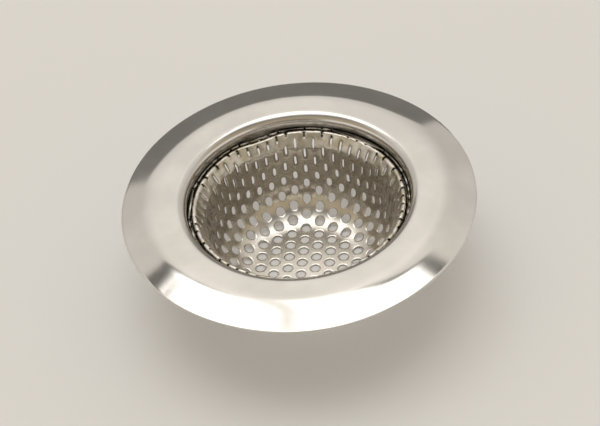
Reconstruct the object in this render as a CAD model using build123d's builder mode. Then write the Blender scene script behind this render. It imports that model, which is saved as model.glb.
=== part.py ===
from build123d import *
import math
import os

# Drop-in sink basket strainer, millimetres, +Z up, origin under the centre of the basket's floor.
# Two pressed steel pieces: a conical rim with a collar, and a deep-drawn perforated basket whose
# folded hem hooks over a lip on the collar's lower edge (a lock seam).

# Driving dimensions: rim flange
rim_radius = 55.0            # outside of the rim
rim_sheet = 0.6              # sheet thickness of the rim
rim_rise = 2.4               # flat ring above the resting edge, on the upper face
crease_radius = 45.8         # where the sloped band meets the flat ring
crease_blend = 23.0          # large bend radius along that line
collar_radius = 34.9         # inside of the collar
corner_radius = 3.0          # rounded corner from the flat ring into the collar

# Driving dimensions: perforated basket
basket_sheet = 0.5           # sheet thickness of the basket
basket_depth = 31.0          # floor's upper face below the rim's resting edge
knuckle_radius = 13.1        # bend from the floor to the wall, inner face
wall_foot_angle = 89.0       # wall's slope just above the knuckle, degrees
wall_top_angle = 78.5        # wall's slope below the shoulder, degrees
shoulder_radius = 2.5        # bend from the wall out to the hem's slope
hem_slope_angle = 60.0       # slope up to the crest, degrees
hem_slope_length = 4.2
crest_radius = 0.8           # hem's crest, outer face of the bend
crest_reach = 33.4           # outside of the crest, from the axis
crest_drop = 2.0             # top of the crest below the rim's resting edge
hem_leg = 0.9                # straight leg down behind the crest
hem_gap_radius = 0.35        # half the gap between the crest and the turned-up edge
hem_edge = 1.5               # straight, turned-up raw edge

# Driving dimensions: perforation, as punched in the flat blank before drawing
hole_diameter = 3.0
hole_pitch = 5.14            # staggered at 60 degrees
row_angle = 80.2             # direction of one row of holes, from +X, degrees
row_offset = (-1.24, 1.68)   # centre of the hole nearest the basket's axis
wall_thickness_ratio = 0.87  # drawn over blank thickness, before thickening
hem_thickening = 0.32        # growth of that ratio from the axis to the hem's crest
hole_squeeze = 2.64          # how much more the holes narrow than the metal round them
narrowest_slot = 0.5
least_notch = 0.3            # shorter cuts into the raw edge are left out
least_slot_length = 0.05     # a hole longer than wide by less than this is round

# Clearances and tool sizes
seam_clearance = 0.03        # beside the lip, inside the hem's fold
lip_clearance = 0.45         # above the lip, under the crest's inner face
channel_clearance = 0.05     # under the hem, in the collar's channel
punch_reach = 1.0            # punch past each side of the sheet's inner face
hem_punch_margin = 0.1       # punch past each face of the sheet in the hem
straight_within = 1e-6       # an arc flatter than this is a line

# Levels and stations
floor_top = basket_sheet
edge_level = floor_top + basket_depth
ring_level = edge_level + rim_rise
crest_axis = crest_reach - crest_radius
crest_level = edge_level - crest_drop - crest_radius
lip_outside = crest_reach - basket_sheet - seam_clearance
lip_top = crest_level + crest_radius - basket_sheet - lip_clearance
channel_radius = (collar_radius - lip_outside) / 2
channel_level = crest_level - hem_leg + channel_clearance

# The wall is one slightly flared bend from the knuckle to the shoulder, with no kink at either end
foot_angle = math.radians(wall_foot_angle)
top_angle = math.radians(wall_top_angle)
slope_angle = math.radians(hem_slope_angle)
slope_top_radius = crest_axis - crest_radius * math.sin(slope_angle)
slope_top_level = crest_level + crest_radius * math.cos(slope_angle)
slope_foot_radius = slope_top_radius - hem_slope_length * math.cos(slope_angle)
slope_foot_level = slope_top_level - hem_slope_length * math.sin(slope_angle)
wall_top_radius = slope_foot_radius - shoulder_radius * (math.sin(top_angle) - math.sin(slope_angle))
wall_top_level = slope_foot_level - shoulder_radius * (math.cos(slope_angle) - math.cos(top_angle))
foot_level = floor_top + knuckle_radius * (1 - math.cos(foot_angle))
flare_radius = (wall_top_level - foot_level) / (math.cos(top_angle) - math.cos(foot_angle))
flare_width = flare_radius * (math.sin(foot_angle) - math.sin(top_angle))
floor_radius = wall_top_radius - flare_width - knuckle_radius * math.sin(foot_angle)


# Rim flange: its polished upper face is drawn from the outer edge to the lip
with BuildPart() as rim_flange:
    with BuildSketch(Plane.XZ):
        with BuildLine():
            top_face = FilletPolyline(
                (rim_radius, edge_level),
                (crease_radius, ring_level),
                (collar_radius, ring_level),
                (collar_radius, channel_level),
                radius=[crease_blend, corner_radius],
            )
            channel = JernArc(top_face @ 1, top_face % 1, channel_radius, -180)
            Line(channel @ 1, (lip_outside, lip_top))
            offset(amount=rim_sheet, side=Side.LEFT)
        make_face()
    revolve(axis=Axis.Z)
rim_flange.part.label = "rim_flange"


# Perforated basket, still without its holes: the inner face is drawn from the axis to the raw edge
with BuildPart() as perforated_basket:
    with BuildSketch(Plane.XZ):
        with BuildLine():
            floor = Line((0, floor_top), (floor_radius, floor_top))
            knuckle = JernArc(floor @ 1, floor % 1, knuckle_radius, wall_foot_angle)
            flare = JernArc(knuckle @ 1, knuckle % 1, flare_radius, wall_top_angle - wall_foot_angle)
            shoulder = JernArc(flare @ 1, flare % 1, shoulder_radius, hem_slope_angle - wall_top_angle)
            slope = Line(shoulder @ 1, (slope_top_radius, slope_top_level))
            crest = JernArc(slope @ 1, slope % 1, crest_radius, -hem_slope_angle - 90)
            leg = Line(crest @ 1, crest @ 1 - (0, hem_leg))
            turn = JernArc(leg @ 1, leg % 1, hem_gap_radius, 180)
            raw_edge = Line(turn @ 1, turn @ 1 + (0, hem_edge))
            offset(amount=basket_sheet, side=Side.LEFT)
        make_face()
    revolve(axis=Axis.Z)

meridian = Wire([floor, knuckle, flare, shoulder, slope, crest, leg, turn, raw_edge])
wall_end = floor.length + knuckle.length + flare.length
slope_start = wall_end + shoulder.length
crest_start = slope_start + slope.length
crest_end = crest_start + crest.length
leg_end = crest_end + leg.length
hem_bends = [wall_end, slope_start, crest_start, crest_end, leg_end, leg_end + turn.length]


def drawing_map(steps=800):
    """Rings of the flat blank against their distance along the meridian once drawn.

    Drawing keeps the metal: a ring's area times its thickness stays what it was in the blank.
    """
    step = meridian.length / steps
    metal = 0.0
    rings = [(0.0, 0.0)]
    for i in range(steps):
        distance = (i + 0.5) * step
        ratio = 1.0
        if distance > floor_radius:
            ratio = wall_thickness_ratio + hem_thickening * distance / crest_end
        radius = meridian.position_at(distance, position_mode=PositionMode.LENGTH).X
        metal += 2 * math.pi * radius * step * ratio
        rings.append((math.sqrt(metal / math.pi), distance + step / 2))
    return rings


def drawn(rings, blank_radius):
    """Distance along the meridian of a ring of the blank, and its stretch along the meridian."""
    outside = next(i for i, ring in enumerate(rings) if ring[0] >= blank_radius and i > 0)
    (inner, near), (outer, far) = rings[outside - 1], rings[outside]
    stretch = (far - near) / (outer - inner)
    return near + stretch * (blank_radius - inner), stretch


def section_point(distance, depth=0.0):
    """Radius and height of a point of the meridian, sunk by depth into the sheet."""
    point = meridian.position_at(distance, position_mode=PositionMode.LENGTH)
    along = meridian.tangent_at(distance, position_mode=PositionMode.LENGTH)
    return point.X + along.Y * depth, point.Y - along.X * depth


def wall_punch(angle, distance, length, width):
    """Tool for a hole that the drawing has stretched along the wall and squeezed round it."""
    along = meridian.tangent_at(distance, position_mode=PositionMode.LENGTH)
    radius, height = section_point(distance)
    outward = Vector(math.cos(angle), math.sin(angle), 0)
    up = Vector(0, 0, 1)
    surface = Plane(
        origin=outward * radius + up * height,
        x_dir=outward * along.X + up * along.Y,
        z_dir=up * along.X - outward * along.Y,
    )
    with BuildPart() as tool:
        with BuildSketch(surface):
            if length - width > least_slot_length:
                SlotOverall(length, width)
            else:
                Circle(width / 2)
        extrude(amount=punch_reach, both=True)
    return tool.part


def follow(breaks, depth):
    """Lines and arcs that follow the meridian at a depth, between the stations in breaks."""
    for near, far in zip(breaks, breaks[1:]):
        ends = section_point(near, depth), section_point(far, depth)
        middle = section_point((near + far) / 2, depth)
        chord_middle = ((ends[0][0] + ends[1][0]) / 2, (ends[0][1] + ends[1][1]) / 2)
        if math.dist(middle, chord_middle) < straight_within:
            Line(*ends)
        else:
            ThreePointArc(ends[0], middle, ends[1])


def hem_punch(angle, start, end, width):
    """Tool for a slot that runs round the hem: it follows the sheet from start to end."""
    inside, outside = -hem_punch_margin, basket_sheet + hem_punch_margin
    breaks = [start, *[bend for bend in hem_bends if start < bend < end], end]
    radial = Plane(
        origin=(0, 0, 0),
        x_dir=(math.cos(angle), math.sin(angle), 0),
        z_dir=(math.sin(angle), -math.cos(angle), 0),
    )
    with BuildPart() as tool:
        with BuildSketch(radial):
            with BuildLine():
                follow(breaks, inside)
                follow(breaks, outside)
                Line(section_point(start, inside), section_point(start, outside))
                Line(section_point(end, inside), section_point(end, outside))
            make_face()
        extrude(amount=width / 2, both=True)
    return tool.part


def hole_centres(blank_radius):
    """Staggered grid of the blank, turned by the row angle and shifted off the axis."""
    reach = math.ceil(blank_radius / hole_pitch) * 2
    row = Vector(hole_pitch, 0, 0).rotate(Axis.Z, row_angle)
    next_row = Vector(hole_pitch, 0, 0).rotate(Axis.Z, row_angle - 60)
    for i in range(-reach, reach + 1):
        for j in range(-reach, reach + 1):
            centre = Vector(*row_offset, 0) + row * i + next_row * j
            if centre.length < blank_radius:
                yield centre


def punches():
    """One tool for each hole of the blank, carried to where drawing leaves it."""
    rings = drawing_map()
    blank_edge = rings[-1][0]
    tools = []
    for centre in hole_centres(blank_edge + hole_diameter / 2):
        from_axis = centre.length
        distance, stretch = drawn(rings, min(from_axis, blank_edge))
        distance += max(0.0, from_axis - blank_edge) * stretch
        radius = meridian.position_at(min(distance, crest_end), position_mode=PositionMode.LENGTH).X
        shrink = 1 - min(1.0, radius / from_axis)
        width = max(narrowest_slot, hole_diameter * (1 - hole_squeeze * shrink))
        length = hole_diameter * math.sqrt(max(1.0, stretch))
        angle = math.atan2(centre.Y, centre.X)
        start = distance - length / 2
        end = min(distance + length / 2, meridian.length)
        if end < crest_start:
            tools.append(wall_punch(angle, distance, length, width))
        elif end - start > least_notch:
            tools.append(hem_punch(angle, start, end, width))
    return tools


tools = punches()
with perforated_basket:
    add(tools, mode=Mode.SUBTRACT)
perforated_basket.part.label = "perforated_basket"

os.makedirs("parts", exist_ok=True)
export_step(rim_flange.part, "parts/rim_flange.step")
export_step(perforated_basket.part, "parts/perforated_basket.step")
print("holes:", len(tools), "basket solids:", len(perforated_basket.part.solids()))
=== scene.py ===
import math

import bpy
import numpy as np
from mathutils import Matrix, Vector
from mathutils.geometry import tessellate_polygon


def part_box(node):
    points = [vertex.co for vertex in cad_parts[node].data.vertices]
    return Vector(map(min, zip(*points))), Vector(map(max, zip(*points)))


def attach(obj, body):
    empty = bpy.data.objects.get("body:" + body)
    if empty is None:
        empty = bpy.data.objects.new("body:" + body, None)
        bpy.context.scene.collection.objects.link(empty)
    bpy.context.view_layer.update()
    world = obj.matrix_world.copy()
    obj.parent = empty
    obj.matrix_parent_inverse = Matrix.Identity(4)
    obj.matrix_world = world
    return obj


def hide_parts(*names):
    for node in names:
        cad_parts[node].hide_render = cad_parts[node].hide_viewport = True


# Drop-in sink basket strainer: a polished rim flange and a deep-drawn perforated basket, seen from
# above and a little in front. Shapes are worked out in millimetres and scaled to metres when made.

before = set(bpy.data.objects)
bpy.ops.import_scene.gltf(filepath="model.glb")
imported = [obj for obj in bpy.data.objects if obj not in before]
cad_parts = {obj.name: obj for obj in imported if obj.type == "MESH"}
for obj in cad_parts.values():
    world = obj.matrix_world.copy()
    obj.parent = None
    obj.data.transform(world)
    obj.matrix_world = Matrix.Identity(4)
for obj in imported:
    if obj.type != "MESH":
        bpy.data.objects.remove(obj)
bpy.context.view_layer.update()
MM = 0.001

# ------------------------------------------------------------------ sizes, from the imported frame
rim_low, rim_high = (np.array(corner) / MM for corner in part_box("rim_flange"))
cup_low, cup_high = (np.array(corner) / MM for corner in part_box("perforated_basket"))
RIM_R = (rim_high[0] - rim_low[0]) / 2
RING_Z = rim_high[2]
CUP_R = (cup_high[0] - cup_low[0]) / 2
CUP_TOP = cup_high[2]

RIM_SHEET = 0.6
RIM_RISE = 2.4
EDGE_Z = RING_Z - RIM_RISE
CREASE_R = 45.8
CREASE_BLEND = 23.0
COLLAR_R = CUP_R + 0.3              # the basket's raw edge clears the collar
CORNER_R = 3.0

SHEET = 0.5
FLOOR_Z = SHEET
KNUCKLE_R = 13.1
FOOT_ANGLE = math.radians(89)
TOP_ANGLE = math.radians(78.5)
SHOULDER_R = 2.5
SLOPE_ANGLE = math.radians(60)
SLOPE_LENGTH = 4.2
CREST_R = 0.8
CREST_REACH = 33.4
HEM_LEG = 0.9
HEM_GAP_R = 0.35
HEM_EDGE = 1.5

HOLE_D = 3.0
PITCH = 5.14
ROW_ANGLE = math.radians(80.2)
ROW_OFFSET = np.array((-1.24, 1.68))
WALL_RATIO = 0.87
HEM_THICKENING = 0.32
HOLE_SQUEEZE = 2.64
NARROWEST_SLOT = 0.68

SEAM_CLEARANCE = 0.03               # beside the lip, inside the hem's fold
LIP_CLEARANCE = 0.45                # above the lip, under the crest
CHANNEL_CLEARANCE = 0.05            # under the hem, in the collar's channel

CREST_AXIS = CREST_REACH - CREST_R
CREST_LEVEL = CUP_TOP - CREST_R
LIP_R = CREST_REACH - SHEET - SEAM_CLEARANCE
LIP_TOP = CUP_TOP - SHEET - LIP_CLEARANCE
CHANNEL_Z = CREST_LEVEL - HEM_LEG + CHANNEL_CLEARANCE


# ------------------------------------------------------------------ mesh helpers
def make_piece(name, points, faces, material, node):
    """A smooth mesh piece, in mm, that stands for a CAD node and rides on the one body."""
    mesh = bpy.data.meshes.new(name)
    mesh.from_pydata((np.asarray(points) * MM).tolist(), [], faces)
    mesh.validate()
    mesh.materials.append(material)
    for face in mesh.polygons:
        face.use_smooth = True
    mesh.update()
    piece = bpy.data.objects.new(name, mesh)
    bpy.context.scene.collection.objects.link(piece)
    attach(piece, "root")
    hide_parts(node)


def smooth_step(low, high, value):
    """0 up to low, 1 from high on, and a smooth rise between them."""
    t = np.clip((np.asarray(value, float) - low) / (high - low), 0, 1)
    return t * t * (3 - 2 * t)


def waves(angle, orders, seed):
    """A sum of a few whole-number waves round the axis, about one high."""
    source = np.random.default_rng(seed)
    total = np.zeros_like(angle)
    for order in orders:
        total += source.normal() * np.cos(order * angle + source.uniform(0, 2 * math.pi))
    return total / math.sqrt(len(orders))


# ------------------------------------------------------------------ dent and waviness of the seam
DENT_AT = math.radians(108)
DENT_HALF_WIDTH = math.radians(10.5)
DENT_IN, DENT_DOWN = 1.15, 0.15
SEAM_WAVE = 0.07
WALL_WAVE = 0.10
SHIFT_FADES_OVER = 9.0              # along the section, from the wall up to the crest
WALL_FADES_OVER = 12.0              # along the section, from the floor's edge up the wall


def seam_shift(angle):
    """How far the seam is pushed from its true circle: radially and upwards, in mm."""
    away = (angle - DENT_AT + math.pi) % (2 * math.pi) - math.pi
    dent = np.exp(-np.abs(away / DENT_HALF_WIDTH) ** 2.6)
    radial = -DENT_IN * dent + SEAM_WAVE * waves(angle, (2, 3, 5, 7, 11, 17), 3)
    upward = -DENT_DOWN * dent + SEAM_WAVE * waves(angle, (3, 4, 6, 9, 14, 23), 5)
    return radial, upward


# ------------------------------------------------------------------ perforated basket
class Meridian:
    """The basket's inner face in section: straight runs and arcs, from the axis to the raw edge."""

    def __init__(self):
        start_r = CREST_AXIS - CREST_R * math.sin(SLOPE_ANGLE)
        start_z = CREST_LEVEL + CREST_R * math.cos(SLOPE_ANGLE)
        slope_r = start_r - SLOPE_LENGTH * math.cos(SLOPE_ANGLE)
        slope_z = start_z - SLOPE_LENGTH * math.sin(SLOPE_ANGLE)
        wall_r = slope_r - SHOULDER_R * (math.sin(TOP_ANGLE) - math.sin(SLOPE_ANGLE))
        wall_z = slope_z - SHOULDER_R * (math.cos(SLOPE_ANGLE) - math.cos(TOP_ANGLE))
        foot_z = FLOOR_Z + KNUCKLE_R * (1 - math.cos(FOOT_ANGLE))
        flare_r = (wall_z - foot_z) / (math.cos(TOP_ANGLE) - math.cos(FOOT_ANGLE))
        flare_width = flare_r * (math.sin(FOOT_ANGLE) - math.sin(TOP_ANGLE))
        self.floor = wall_r - flare_width - KNUCKLE_R * math.sin(FOOT_ANGLE)
        runs = [
            (self.floor, 0.0),
            (KNUCKLE_R * FOOT_ANGLE, 1 / KNUCKLE_R),
            (flare_r * (FOOT_ANGLE - TOP_ANGLE), -1 / flare_r),
            (SHOULDER_R * (TOP_ANGLE - SLOPE_ANGLE), -1 / SHOULDER_R),
            (SLOPE_LENGTH, 0.0),
            (CREST_R * (SLOPE_ANGLE + math.pi / 2), -1 / CREST_R),
            (HEM_LEG, 0.0),
            (HEM_GAP_R * math.pi, 1 / HEM_GAP_R),
            (HEM_EDGE, 0.0),
        ]
        lengths = np.array([run[0] for run in runs])
        starts = np.concatenate([[0.0], np.cumsum(lengths)])
        self.length = starts[-1]
        self.crest_start, self.crest_end, self.leg_end, self.turn_end = starts[5:9]
        fine = np.linspace(0, self.length, 12001)
        bend = np.zeros_like(fine)
        for (_, curve), start, end in zip(runs, starts, starts[1:]):
            bend += curve * np.clip(fine - start, 0, end - start)
        middle = (bend[1:] + bend[:-1]) / 2
        step = np.diff(fine)
        self.fine = fine
        self.heading = bend
        self.r = np.concatenate([[0.0], np.cumsum(np.cos(middle) * step)])
        self.z = FLOOR_Z + np.concatenate([[0.0], np.cumsum(np.sin(middle) * step)])
        drawn_ratio = WALL_RATIO + HEM_THICKENING * fine / self.crest_end
        ratio = np.where(fine < self.floor, 1.0, drawn_ratio)
        metal = (self.r[1:] + self.r[:-1]) / 2 * step * (ratio[1:] + ratio[:-1]) / 2
        self.blank = np.sqrt(2 * np.concatenate([[0.0], np.cumsum(metal)]))

    def at(self, distance):
        """Radius, height and heading at distances along the section."""
        return tuple(np.interp(distance, self.fine, row) for row in (self.r, self.z, self.heading))

    def drawn(self, ring):
        """Distance along the section of rings of the flat blank."""
        return np.interp(ring, self.blank, self.fine)

    def rings_at(self, distances):
        """Rings of the flat blank at distances along the section."""
        return np.interp(distances, self.fine, self.blank)


section = Meridian()
BLANK_R = section.blank[-1]


def formed(blank_points, depth, lift):
    """Blank points, at a depth in the sheet, where deep drawing leaves them."""
    ring = np.hypot(blank_points[:, 0], blank_points[:, 1])
    angle = np.arctan2(blank_points[:, 1], blank_points[:, 0])
    distance = section.drawn(ring)
    radius, height, heading = section.at(distance)
    sink = depth - lift
    radius = radius + np.sin(heading) * sink
    height = height - np.cos(heading) * sink
    crest = section.crest_start
    near_hem = smooth_step(crest - SHIFT_FADES_OVER, crest, distance)
    radial, upward = seam_shift(angle)
    radius = radius + radial * near_hem
    height = np.minimum(height + upward * near_hem, CUP_TOP)
    wall = smooth_step(section.floor, section.floor + WALL_FADES_OVER, distance)
    radius = radius + WALL_WAVE * wall * (1 - near_hem) * waves(angle, (2, 3, 5, 8), 11)
    return np.stack([radius * np.cos(angle), radius * np.sin(angle), height], axis=1)


CELL_REACH = 0.58                   # centre to corner of a hexagonal cell, in pitches
SAMPLE = 0.2                        # half the width of blank that a hole's stretch is taken over
DEEPEST_SUNK = 0.12                 # how far a hole's lip sinks where the sheet was drawn most
LIP_BEVEL = 0.15


def hole_grid():
    """Centres of the staggered holes whose cells reach the blank, and one hexagon side's angle."""
    reach = math.ceil(BLANK_R / PITCH) * 2
    turned = ROW_ANGLE - math.pi / 3
    row = PITCH * np.array((math.cos(ROW_ANGLE), math.sin(ROW_ANGLE)))
    next_row = PITCH * np.array((math.cos(turned), math.sin(turned)))
    centres = []
    for i in range(-reach, reach + 1):
        for j in range(-reach, reach + 1):
            centre = ROW_OFFSET + i * row + j * next_row
            if math.hypot(*centre) < BLANK_R + PITCH * CELL_REACH:
                centres.append(centre)
    return centres, turned


class Hole:
    """A hole's outline in the blank, such that drawing turns it into the slot it ends up as."""

    def __init__(self, centre):
        from_axis = math.hypot(*centre)
        inside = min(from_axis, BLANK_R - SAMPLE)
        near, far = section.drawn(inside - SAMPLE), section.drawn(inside + SAMPLE)
        stretch = max(1.0, float(far - near) / (2 * SAMPLE))
        distance = float(section.drawn(min(from_axis, BLANK_R)))
        radius = float(section.at(min(distance, section.crest_end))[0])
        shrink = 1 - min(1.0, radius / from_axis)
        width = max(NARROWEST_SLOT, HOLE_D * (1 - HOLE_SQUEEZE * shrink))
        length = HOLE_D * math.sqrt(stretch)
        self.centre = centre
        self.half_along = length / 2 / stretch
        self.half_round = width / 2 / (1 - shrink)
        self.squareness = 2 / (2 + 1.2 * min(1, max(0, (length / width - 1) / 3)))
        self.along = centre / from_axis
        self.round = np.array((-self.along[1], self.along[0]))
        drawn_deep = smooth_step(section.floor + 2, section.crest_start, distance)
        self.sunk = DEEPEST_SUNK * float(drawn_deep)

    def outline(self, direction, grow):
        """Point of the outline, grown by some millimetres, towards a direction."""
        c, s = float(direction @ self.along), float(direction @ self.round)
        u = (self.half_along + grow) * math.copysign(abs(c) ** self.squareness, c)
        v = (self.half_round + grow) * math.copysign(abs(s) ** self.squareness, s)
        return self.centre + u * self.along + v * self.round


def cut_at_rings(points, faces, levels):
    """Split faces along circles of the blank; returns those inside the last circle."""
    near = 1e-6
    ring = [math.hypot(point[0], point[1]) for point in points]
    done, above = [], faces
    for level in levels:
        crossings, waiting = {}, []
        for face in above:
            rings = [ring[v] for v in face]
            if max(rings) <= level + near:
                done.append(face)
                continue
            if min(rings) >= level - near:
                waiting.append(face)
                continue
            inner, outer = [], []
            for a, b in zip(face, face[1:] + face[:1]):
                if ring[a] <= level + near:
                    inner.append(a)
                if ring[a] >= level - near:
                    outer.append(a)
                if min(ring[a], ring[b]) < level - near and max(ring[a], ring[b]) > level + near:
                    key = (min(a, b), max(a, b))
                    if key not in crossings:
                        t = (level - ring[a]) / (ring[b] - ring[a])
                        x, y, *rest = (p + (q - p) * t for p, q in zip(points[a], points[b]))
                        scale = level / math.hypot(x, y)
                        crossings[key] = len(points)
                        points.append((x * scale, y * scale, *rest))
                        ring.append(level)
                    inner.append(crossings[key])
                    outer.append(crossings[key])
            if len(inner) > 2:
                done.append(inner)
            if len(outer) > 2:
                waiting.append(outer)
        above = waiting
    return done


def raw_edge(points, faces):
    """Faces that close the sheet's cut edge, one strip between every two notches."""
    used = {(a, b) for face in faces for a, b in zip(face, face[1:] + face[:1])}
    follow = {b: a for a, b in used if (b, a) not in used}
    strips = []
    while follow:
        start, at = follow.popitem()
        loop = [start]
        while at != start:
            loop.append(at)
            at = follow.pop(at)
        turn = np.unwrap([math.atan2(points[v][1], points[v][0]) for v in loop])
        flat = [Vector((t * BLANK_R, points[v][2], 0)) for t, v in zip(turn, loop)]
        side = sum(p.cross(q).z for p, q in zip(flat, flat[1:] + flat[:1]))
        for a, b, c in tessellate_polygon([flat]):
            if (flat[b] - flat[a]).cross(flat[c] - flat[a]).z * side < 0:
                b, c = c, b
            strips.append([loop[a], loop[b], loop[c]])
    return strips


def build_basket(material):
    """Hexagonal cells of the blank, one round each hole, formed into the cup and joined."""
    spokes = 24
    centres, grid_angle = hole_grid()
    points, faces, shared = [], [], {}

    def own(spot, depth, lift):
        points.append((spot[0], spot[1], depth, lift))
        return len(points) - 1

    def joint(spot, depth):
        key = (round(spot[0], 3), round(spot[1], 3), depth)
        if key not in shared:
            shared[key] = own(spot, depth, 0.0)
        return shared[key]

    for centre in centres:
        hole = Hole(centre)
        rings = []
        for k in range(spokes):
            turn = 2 * math.pi * k / spokes
            reach = PITCH / 2 / math.cos((turn + math.pi / 6) % (math.pi / 3) - math.pi / 6)
            direction = np.array((math.cos(turn + grid_angle), math.sin(turn + grid_angle)))
            boundary = centre + reach * direction
            edge, lip = hole.outline(direction, 0.0), hole.outline(direction, LIP_BEVEL)
            middle = lip + (boundary - lip) * 0.4
            rings.append([
                joint(boundary, 0.0),
                own(middle, 0.0, -hole.sunk * 0.3),
                own(lip, 0.0, -hole.sunk * 0.85),
                own(edge, LIP_BEVEL * 0.8, -hole.sunk),
                own(edge, SHEET - 0.05, -hole.sunk),
                own(lip, SHEET, -hole.sunk * 0.85),
                joint(boundary, SHEET),
            ])
        for here, there in zip(rings, rings[1:] + rings[:1]):
            for k in range(len(here) - 1):
                faces.append([here[k], there[k], there[k + 1], here[k + 1]])

    bends = [
        *np.linspace(section.crest_start, section.crest_end, 9),
        *np.linspace(section.leg_end, section.turn_end, 7),
        section.length,
    ]
    faces = cut_at_rings(points, faces, section.rings_at(bends))
    faces += raw_edge(points, faces)
    used = sorted({v for face in faces for v in face})
    place = {v: i for i, v in enumerate(used)}
    kept = np.array([points[v] for v in used])
    faces = [[place[v] for v in face] for face in faces]
    spots = formed(kept[:, :2], kept[:, 2], kept[:, 3])
    make_piece("basket_shell", spots, faces, material, "perforated_basket")


# ------------------------------------------------------------------ rim flange
ARC_STEP = 0.35                     # between points along the section's arcs
ROUND_OFF = 0.1                     # blunting of the sheet's cut edges
TURNS = 432                         # steps round the axis


def filleted(corners, radii, arc_step):
    """Points of a polyline in section with rounded corners, and the heading at each point."""
    path = []
    corners = [np.array(corner, float) for corner in corners]
    for before, corner, after, radius in zip(corners, corners[1:], corners[2:], radii):
        way_in = (corner - before) / np.linalg.norm(corner - before)
        way_out = (after - corner) / np.linalg.norm(after - corner)
        turn = math.atan2(way_in[0] * way_out[1] - way_in[1] * way_out[0], way_in @ way_out)
        start = corner - way_in * radius * math.tan(abs(turn) / 2)
        side = math.copysign(1, turn)
        centre = start + side * radius * np.array((-way_in[1], way_in[0]))
        count = max(4, round(radius * abs(turn) / arc_step))
        heading_in = math.atan2(way_in[1], way_in[0])
        for t in np.linspace(0, 1, count + 1):
            heading = heading_in + turn * t
            spoke = np.array((math.sin(heading), -math.cos(heading)))
            path.append((*(centre + side * radius * spoke), heading))
    return path


def build_flange(material):
    """The rim, collar and seam lip in one sheet, turned about the axis."""
    corners = [
        (RIM_R, EDGE_Z), (CREASE_R, RING_Z), (COLLAR_R, RING_Z), (COLLAR_R, CHANNEL_Z),
    ]
    path = filleted(corners, [CREASE_BLEND, CORNER_R], ARC_STEP)
    first = path[0]
    slope = np.linspace(0, 1, 9)[:-1]
    start = [
        (RIM_R + (first[0] - RIM_R) * t, EDGE_Z + (first[1] - EDGE_Z) * t, first[2]) for t in slope
    ]
    fillet_start = next(i for i, p in enumerate(path) if p[0] < COLLAR_R + CORNER_R + 0.01)
    ring_from, ring_to = path[fillet_start - 1], path[fillet_start]
    ring = [
        (ring_from[0] + (ring_to[0] - ring_from[0]) * t, RING_Z, math.pi)
        for t in np.linspace(0, 1, 9)[1:-1]
    ]
    collar = [
        (COLLAR_R, path[-1][1] + (CHANNEL_Z - path[-1][1]) * t, 1.5 * math.pi)
        for t in np.linspace(0, 1, 8)[1:]
    ]
    channel_r = (COLLAR_R - LIP_R) / 2
    channel = [
        (COLLAR_R - channel_r + channel_r * math.cos(t), CHANNEL_Z - channel_r * math.sin(t),
         1.5 * math.pi - t)
        for t in np.linspace(0, math.pi, 13)[1:]
    ]
    lip = [(LIP_R, CHANNEL_Z + (LIP_TOP - CHANNEL_Z) * t, math.pi / 2) for t in (0.5, 1.0)]
    path = start + path[:fillet_start] + ring + path[fillet_start:] + collar + channel + lip
    face = np.array([(r, z) for r, z, _ in path])
    heading = np.array([h for _, _, h in path])
    normal = np.stack([np.sin(heading), -np.cos(heading)], axis=1)
    back = face - normal * RIM_SHEET
    outer, outer_back = face[0], back[0]
    inward = (face[1] - face[0]) / np.linalg.norm(face[1] - face[0])
    through = (outer_back - outer) / RIM_SHEET
    tip_in = (face[-2] - face[-1]) / np.linalg.norm(face[-2] - face[-1])
    tip_through = (back[-1] - face[-1]) / RIM_SHEET
    outline = np.array([
        outer + through * ROUND_OFF,
        outer + (inward + through) * ROUND_OFF * 0.3,
        outer + inward * ROUND_OFF,
        *face[1:-1],
        face[-1] + tip_in * ROUND_OFF,
        face[-1] + tip_through * ROUND_OFF,
        back[-1] - tip_through * ROUND_OFF,
        back[-1] + tip_in * ROUND_OFF,
        *back[-2:0:-1],
        outer_back + inward * ROUND_OFF,
        outer_back + (inward - through) * ROUND_OFF * 0.3,
        outer_back - through * ROUND_OFF,
    ])
    angle = np.linspace(0, 2 * math.pi, TURNS, endpoint=False)
    radius = np.repeat(outline[:, 0][None, :], TURNS, axis=0)
    height = np.repeat(outline[:, 1][None, :], TURNS, axis=0)
    radial, _ = seam_shift(angle)
    lip_side = smooth_step(COLLAR_R - 0.2, LIP_R + 0.3, outline[:, 0])
    radius += radial[:, None] * lip_side[None, :]
    points = np.stack([
        radius * np.cos(angle)[:, None], radius * np.sin(angle)[:, None], height,
    ], axis=2).reshape(-1, 3)
    count = len(outline)
    faces = []
    for i in range(TURNS):
        j = (i + 1) % TURNS
        for k in range(count):
            m = (k + 1) % count
            faces.append([i * count + k, i * count + m, j * count + m, j * count + k])
    make_piece("rim_plate", points, faces, material, "rim_flange")


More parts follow.
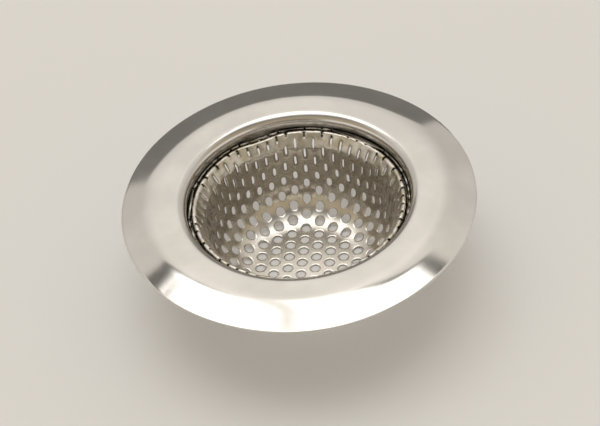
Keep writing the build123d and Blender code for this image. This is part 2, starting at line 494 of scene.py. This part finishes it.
# ------------------------------------------------------------------ shader helpers
class Nodes:
    """Short spellings for the shader nodes of one tree."""

    def __init__(self, tree):
        self.tree = tree

    def node(self, kind, **settings):
        made = self.tree.nodes.new(kind)
        for name, value in settings.items():
            setattr(made, name, value)
        return made

    def put(self, socket, value):
        if isinstance(value, bpy.types.NodeSocket):
            self.tree.links.new(value, socket)
        else:
            socket.default_value = value

    def math(self, operation, a, b=0.0, clamp=False):
        made = self.node("ShaderNodeMath", operation=operation, use_clamp=clamp)
        self.put(made.inputs[0], a)
        self.put(made.inputs[1], b)
        return made.outputs[0]

    def ramp(self, value, low, high, out_low=0.0, out_high=1.0):
        made = self.node("ShaderNodeMapRange", interpolation_type="SMOOTHSTEP")
        self.put(made.inputs["Value"], value)
        self.put(made.inputs["From Min"], low)
        self.put(made.inputs["From Max"], high)
        self.put(made.inputs["To Min"], out_low)
        self.put(made.inputs["To Max"], out_high)
        return made.outputs["Result"]

    def mix(self, factor, a, b, blend="MIX"):
        made = self.node("ShaderNodeMix", data_type="RGBA", blend_type=blend)
        self.put(made.inputs["Factor"], factor)
        self.put(made.inputs[6], a)
        self.put(made.inputs[7], b)
        return made.outputs[2]

    def noise(self, vector, scale, detail, roughness):
        made = self.node("ShaderNodeTexNoise")
        self.put(made.inputs["Vector"], vector)
        made.inputs["Scale"].default_value = scale
        made.inputs["Detail"].default_value = detail
        made.inputs["Roughness"].default_value = roughness
        return made.outputs["Fac"]

    def product(self, first, *others):
        for other in others:
            first = self.math("MULTIPLY", first, other)
        return first


def grey(value, warmth=0.0):
    """A warm grey: warmth lowers blue, and green by less."""
    return (value, value * (1 - 0.45 * warmth), value * (1 - warmth), 1.0)


# ------------------------------------------------------------------ steel
# Radii and heights, in metres, between which the finish changes
CUP_WITHIN = 0.0348
FLOOR_LEVELS = (0.0012, 0.004)
WALL_FOOT_LEVELS = (0.004, 0.011)
WALL_TOP_LEVELS = (0.0236, 0.0258)
HEM_LEVELS = (0.0246, 0.0262)
COLLAR_LEVELS = (0.0300, 0.0325)
NECK_RADII = (0.0366, 0.0395)
# reach of the ambient occlusion that paints shade into crevices
PAINTED_SHADE_REACH = 0.0011

# Multiplied into the steel's colour: painted shade on the basket wall, and a stain on the hem
PAINTED_WALL_SHADE = (0.57, 0.548, 0.515, 1)
STAIN_SHADE = (0.74, 0.71, 0.60, 1)


def cylindrical(n):
    """Object coordinates turned into angle, radius and height, in metres round the axis."""
    spot = n.node("ShaderNodeTexCoord").outputs["Object"]
    parts = n.node("ShaderNodeSeparateXYZ")
    n.put(parts.inputs[0], spot)
    x, y, z = parts.outputs
    angle = n.math("ARCTAN2", y, x)
    radius = n.math("SQRT", n.math("ADD", n.product(x, x), n.product(y, y)))
    return spot, angle, radius, z


def steel(name, tint, rough, scratch, dent, grain_scale):
    """Bright stainless steel: rubbed roughness, hairlines, slight unevenness, painted shade in
    crevices and on the basket wall.
    """
    material = bpy.data.materials.new(name)
    material.use_nodes = True
    n = Nodes(material.node_tree)
    shader = material.node_tree.nodes["Principled BSDF"]
    shader.inputs["Metallic"].default_value = 1.0
    spot, angle, radius, z = cylindrical(n)
    cloud = n.noise(spot, 55.0, 3.0, 0.55)
    fine = n.noise(spot, grain_scale, 2.0, 0.6)
    polar = n.node("ShaderNodeCombineXYZ")
    n.put(polar.inputs[0], n.math("MULTIPLY", angle, 0.9))
    n.put(polar.inputs[1], n.math("MULTIPLY", radius, 2600.0))
    n.put(polar.inputs[2], n.math("MULTIPLY", z, 2600.0))
    hairline = n.noise(polar.outputs[0], 1.0, 2.0, 0.6)
    rubbed = n.math("ADD", n.math("MULTIPLY", cloud, 0.10), n.math("MULTIPLY", fine, 0.06))
    dark = tuple(c * 0.90 for c in tint)
    colour = n.mix(n.ramp(cloud, 0.35, 0.7), (*dark, 1), (*tint, 1))

    # painted shade darkens the basket wall, stained on the hem, and matt there, on the collar and
    # on the floor
    in_cup = n.math("LESS_THAN", radius, CUP_WITHIN)
    hem = n.product(n.ramp(z, *HEM_LEVELS), in_cup)
    # wall masks the painted shade, between the wall's foot and its top
    wall = n.product(n.ramp(z, *WALL_FOOT_LEVELS), n.ramp(z, *WALL_TOP_LEVELS, 1.0, 0.0), in_cup)
    colour = n.mix(wall, colour, n.mix(1.0, colour, PAINTED_WALL_SHADE, "MULTIPLY"))
    stain = n.ramp(n.noise(spot, 230.0, 2.0, 0.6), 0.42, 0.66)
    stained = n.mix(1.0, colour, STAIN_SHADE, "MULTIPLY")
    colour = n.mix(n.product(hem, stain), colour, stained)
    neck = n.math("SUBTRACT", n.ramp(radius, *NECK_RADII, 1.0, 0.0), in_cup)
    collar = n.product(n.ramp(z, *COLLAR_LEVELS, 1.0, 0.0), neck)
    matt = n.math("ADD", n.math("MULTIPLY", neck, 0.11), n.math("MULTIPLY", collar, 0.14))
    matt = n.math("ADD", n.math("MAXIMUM", matt, 0.0), n.math("MULTIPLY", hem, 0.16))
    level = n.product(n.ramp(z, *FLOOR_LEVELS, 0.09, 0.0), in_cup)
    base_rough = n.math("ADD", n.math("ADD", matt, level), rough - 0.08)
    n.put(shader.inputs["Roughness"], n.math("ADD", rubbed, base_rough, clamp=True))

    # painted shade in crevices: ambient occlusion darkens the colour between the folds of the seam
    # and inside the narrow slots
    painted_crevice_shade = n.node("ShaderNodeAmbientOcclusion", samples=6)
    painted_crevice_shade.inputs["Distance"].default_value = PAINTED_SHADE_REACH
    reach = n.ramp(painted_crevice_shade.outputs["AO"], 0.38, 0.86, 0.02, 1.0)
    painted_shade_colour = n.node("ShaderNodeCombineColor")
    for channel in range(3):
        n.put(painted_shade_colour.inputs[channel], reach)
    n.put(shader.inputs["Base Color"], n.mix(1.0, colour, painted_shade_colour.outputs[0], "MULTIPLY"))

    bump = n.node("ShaderNodeBump")
    bump.inputs["Distance"].default_value = 0.00005
    bump.inputs["Strength"].default_value = scratch
    lines = n.math("ADD", n.math("MULTIPLY", hairline, 0.6), n.math("MULTIPLY", fine, 0.4))
    n.put(bump.inputs["Height"], lines)
    broad = n.node("ShaderNodeBump")
    broad.inputs["Distance"].default_value = 0.0006
    broad.inputs["Strength"].default_value = dent
    n.put(broad.inputs["Height"], n.noise(spot, 90.0, 1.0, 0.5))
    n.put(broad.inputs["Normal"], bump.outputs["Normal"])
    crumple = n.node("ShaderNodeBump")
    crumple.inputs["Distance"].default_value = 0.0005
    n.put(crumple.inputs["Strength"], n.math("MULTIPLY", hem, 0.45))
    n.put(crumple.inputs["Height"], n.noise(spot, 420.0, 2.0, 0.55))
    n.put(crumple.inputs["Normal"], broad.outputs["Normal"])
    n.put(shader.inputs["Normal"], crumple.outputs["Normal"])
    return material


flange_steel = steel("polished_steel", (0.80, 0.775, 0.735), 0.10, 0.05, 0.02, 2500.0)
basket_steel = steel("drawn_steel", (0.82, 0.785, 0.72), 0.18, 0.10, 0.10, 1800.0)

build_flange(flange_steel)
build_basket(basket_steel)


# ------------------------------------------------------------------ floor
FLOOR_HALF = 3.0                    # metres
FLOOR_CELLS = 24
FLOOR_COLOUR = (0.80, 0.79, 0.77, 1)
FLOOR_GLOW = 0.10


def build_floor():
    """A wide, plain, pale sheet under the strainer, transparent from below."""
    grid = np.linspace(-1, 1, FLOOR_CELLS + 1)
    spread = (np.sign(grid) * np.abs(grid) ** 2.2 * FLOOR_HALF).tolist()
    points = [(x, y, 0.0) for y in spread for x in spread]
    faces = []
    for j in range(FLOOR_CELLS):
        for i in range(FLOOR_CELLS):
            a = j * (FLOOR_CELLS + 1) + i
            faces.append([a, a + 1, a + FLOOR_CELLS + 2, a + FLOOR_CELLS + 1])
    mesh = bpy.data.meshes.new("floor")
    mesh.from_pydata(points, [], faces)
    floor = bpy.data.objects.new("floor", mesh)
    bpy.context.scene.collection.objects.link(floor)
    material = bpy.data.materials.new("pale_floor")
    material.use_nodes = True
    n = Nodes(material.node_tree)
    shader = material.node_tree.nodes["Principled BSDF"]
    shader.inputs["Base Color"].default_value = FLOOR_COLOUR
    shader.inputs["Roughness"].default_value = 0.9
    shader.inputs["Specular IOR Level"].default_value = 0.0
    shader.inputs["Emission Color"].default_value = (1.0, 1.0, 1.0, 1)
    shader.inputs["Emission Strength"].default_value = FLOOR_GLOW
    below = n.node("ShaderNodeNewGeometry").outputs["Backfacing"]
    mixer = n.node("ShaderNodeMixShader")
    n.put(mixer.inputs[0], below)
    n.put(mixer.inputs[1], shader.outputs[0])
    n.put(mixer.inputs[2], n.node("ShaderNodeBsdfTransparent").outputs[0])
    n.put(material.node_tree.nodes["Material Output"].inputs["Surface"], mixer.outputs[0])
    mesh.materials.append(material)


build_floor()


# ------------------------------------------------------------------ studio surroundings
# By direction, in degrees: azimuth from +Y, the far side, towards +X, and elevation. Colours above
# 1 are bright sheets. What is seen here is what the rim mirrors.
MIDDLE = -3.0                       # azimuth that the card and the white sheet are centred on
NEAR_BROWN = (0.45, 0.38, 0.27, 1)
CARD_GREY = (0.215, 0.21, 0.195, 1)
CARD_TOP = 29.0
SHEET_WHITE = (2.1, 2.06, 1.98, 1)
SHEET_EDGE_AT_SIDES = (77.0, 77.0, 77.0, 1)
BAR_BLACK = (0.06, 0.06, 0.055, 1)
SHORT_BAR = 54.2
STRIP_BEIGE = (0.30, 0.27, 0.22, 1)
STRIP_X = -0.078
BACKDROP_WHITE = (1.0, 1.0, 1.0, 1)


def grey_room(n, y, elevation, sideways):
    """Warm grey that lightens upwards on the far side, and brown and dark grey on the near side."""
    far = n.mix(n.ramp(elevation, 20, 62), grey(0.72, 0.10), grey(1.05, 0.11))
    far = n.mix(n.ramp(sideways, 14, 32, 0.0, 0.30), far, grey(0.36, 0.20))
    low_near = n.mix(n.ramp(y, -0.93, -0.75), grey(0.22, 0.22), grey(0.95, 0.12))
    near = n.mix(n.ramp(elevation, 14, 25), low_near, NEAR_BROWN)
    near = n.mix(n.ramp(elevation, 42, 58), near, grey(0.24, 0.16))
    return n.mix(n.ramp(y, -0.25, 0.35), near, far)


def dark_card(n, room, azimuth, elevation, from_middle):
    """A dark card low down behind, whose top falls away to both sides."""
    right_drop = n.math("MAXIMUM", n.math("SUBTRACT", azimuth, 8.0), 0.0)
    right_drop = n.math("POWER", n.math("DIVIDE", right_drop, 4.4), 2.0)
    left_drop = n.math("DIVIDE", n.math("MINIMUM", from_middle, 0.0), 12.8)
    drop = n.math("ADD", right_drop, n.product(left_drop, left_drop))
    above_card = n.math("SUBTRACT", elevation, n.math("SUBTRACT", CARD_TOP, drop))
    in_card = n.product(
        n.ramp(above_card, -1.0, 1.0, 1.0, 0.0),
        n.ramp(azimuth, 27.0, 30.0, 1.0, 0.0),
        n.ramp(azimuth, -31.0, -28.0),
    )
    return n.mix(in_card, room, CARD_GREY)


def sheet_edge(n, azimuth):
    """Elevation of the white sheet's edge on the far side."""
    right_edge = n.ramp(azimuth, 0, 28, 58.5, 65.2)
    right_edge = n.math("SUBTRACT", right_edge, n.ramp(azimuth, 31, 46, 0.0, 6.0))
    left_edge = n.ramp(azimuth, -33, -12, 52.2, 58.5)
    return n.mix(n.math("GREATER_THAN", azimuth, -6.0), left_edge, right_edge)


def in_white_sheet(n, edge, elevation, sideways):
    """1 in the white sheet overhead, which starts higher up at the sides and on the near side."""
    edge = n.mix(n.ramp(sideways, 55, 95), edge, SHEET_EDGE_AT_SIDES)
    softness = n.math(
        "ADD", n.ramp(sideways, 8, 22, 4.5, 0.7), n.ramp(sideways, 60, 100, 0.0, 12.0),
    )
    above = n.math("SUBTRACT", elevation, edge)
    return n.ramp(n.math("DIVIDE", above, softness), -1.0, 1.0)


def dark_bars(n, room, edge, azimuth, elevation, sideways):
    """Thin dark bars under the white, wider towards the sides, and a short one on the left."""
    width = n.ramp(sideways, 14, 42, 0.9, 2.2)
    from_bar = n.math("SUBTRACT", elevation, n.math("SUBTRACT", edge, width))
    from_bar = n.math("DIVIDE", n.math("ABSOLUTE", from_bar), width)
    long = n.product(
        n.ramp(from_bar, 0.7, 1.15, 1.0, 0.0),
        n.ramp(sideways, 8, 16),
        n.ramp(sideways, 49, 56, 1.0, 0.0),
    )
    from_short = n.math("ABSOLUTE", n.math("SUBTRACT", elevation, SHORT_BAR))
    short = n.product(
        n.ramp(from_short, 0.5, 0.9, 1.0, 0.0),
        n.ramp(azimuth, -42.0, -41.0, 1.0, 0.0),
        n.ramp(azimuth, -60.0, -50.0),
    )
    return n.mix(n.product(n.math("MAXIMUM", long, short), 0.92), room, BAR_BLACK)


def faint_strip(n, room, x, y, white):
    """A faint beige strip in the white, a little left of the middle."""
    from_strip = n.math("ABSOLUTE", n.math("SUBTRACT", x, STRIP_X))
    on_strip = n.product(n.ramp(from_strip, 0.024, 0.034, 0.5, 0.0), white, n.ramp(y, 0.05, 0.12))
    return n.mix(on_strip, room, STRIP_BEIGE)


def build_world():
    """Soft studio surroundings by direction. Rays from the camera see a plain white backdrop."""
    world = bpy.data.worlds.new("studio")
    bpy.context.scene.world = world
    world.use_nodes = True
    tree = world.node_tree
    tree.nodes.clear()
    n = Nodes(tree)
    parts = n.node("ShaderNodeSeparateXYZ")
    n.put(parts.inputs[0], n.node("ShaderNodeTexCoord").outputs["Generated"])
    x, y, z = parts.outputs
    azimuth = n.math("MULTIPLY", n.math("ARCTAN2", x, y), 180 / math.pi)
    elevation = n.math("MULTIPLY", n.math("ARCSINE", z), 180 / math.pi)
    from_middle = n.math("SUBTRACT", azimuth, MIDDLE)
    sideways = n.math("ABSOLUTE", from_middle)

    edge = sheet_edge(n, azimuth)
    white = in_white_sheet(n, edge, elevation, sideways)
    room = grey_room(n, y, elevation, sideways)
    room = dark_card(n, room, azimuth, elevation, from_middle)
    room = n.mix(white, room, SHEET_WHITE)
    room = dark_bars(n, room, edge, azimuth, elevation, sideways)
    room = faint_strip(n, room, x, y, white)

    light = n.node("ShaderNodeBackground")
    n.put(light.inputs["Color"], room)
    backdrop = n.node("ShaderNodeBackground")
    backdrop.inputs["Color"].default_value = BACKDROP_WHITE
    mixer = n.node("ShaderNodeMixShader")
    n.put(mixer.inputs[0], n.node("ShaderNodeLightPath").outputs["Is Camera Ray"])
    n.put(mixer.inputs[1], light.outputs[0])
    n.put(mixer.inputs[2], backdrop.outputs[0])
    n.put(n.node("ShaderNodeOutputWorld").inputs["Surface"], mixer.outputs[0])
    bpy.context.scene.view_settings.view_transform = "Standard"
    bpy.context.scene.view_settings.look = "None"


build_world()


# ------------------------------------------------------------------ camera
def build_camera():
    """Above the near side, looking down at about 45 degrees with a slight roll."""
    tilt, roll, reach = math.radians(44.505), math.radians(-7.109), 463.427
    aside, lowered = 0.638, 5.027
    forward = Vector((0, math.cos(tilt), -math.sin(tilt)))
    level = Vector((1, 0, 0))
    upward = Vector((0, math.sin(tilt), math.cos(tilt)))
    right = level * math.cos(roll) + upward * math.sin(roll)
    up = upward * math.cos(roll) - level * math.sin(roll)
    aim = Vector((0, 0, EDGE_Z))
    spot = (aim - forward * reach + right * aside - up * lowered) * MM
    data = bpy.data.cameras.new("camera")
    data.sensor_width = 36.0
    data.lens = 90.0
    data.clip_start, data.clip_end = 0.01, 20.0
    camera = bpy.data.objects.new("camera", data)
    bpy.context.scene.collection.objects.link(camera)
    turned = Matrix((right, up, -forward)).transposed().to_4x4()
    camera.matrix_world = Matrix.Translation(spot) @ turned
    bpy.context.scene.camera = camera


build_camera()

# ------------------------------------------------------------------ finish
bpy.context.view_layer.update()
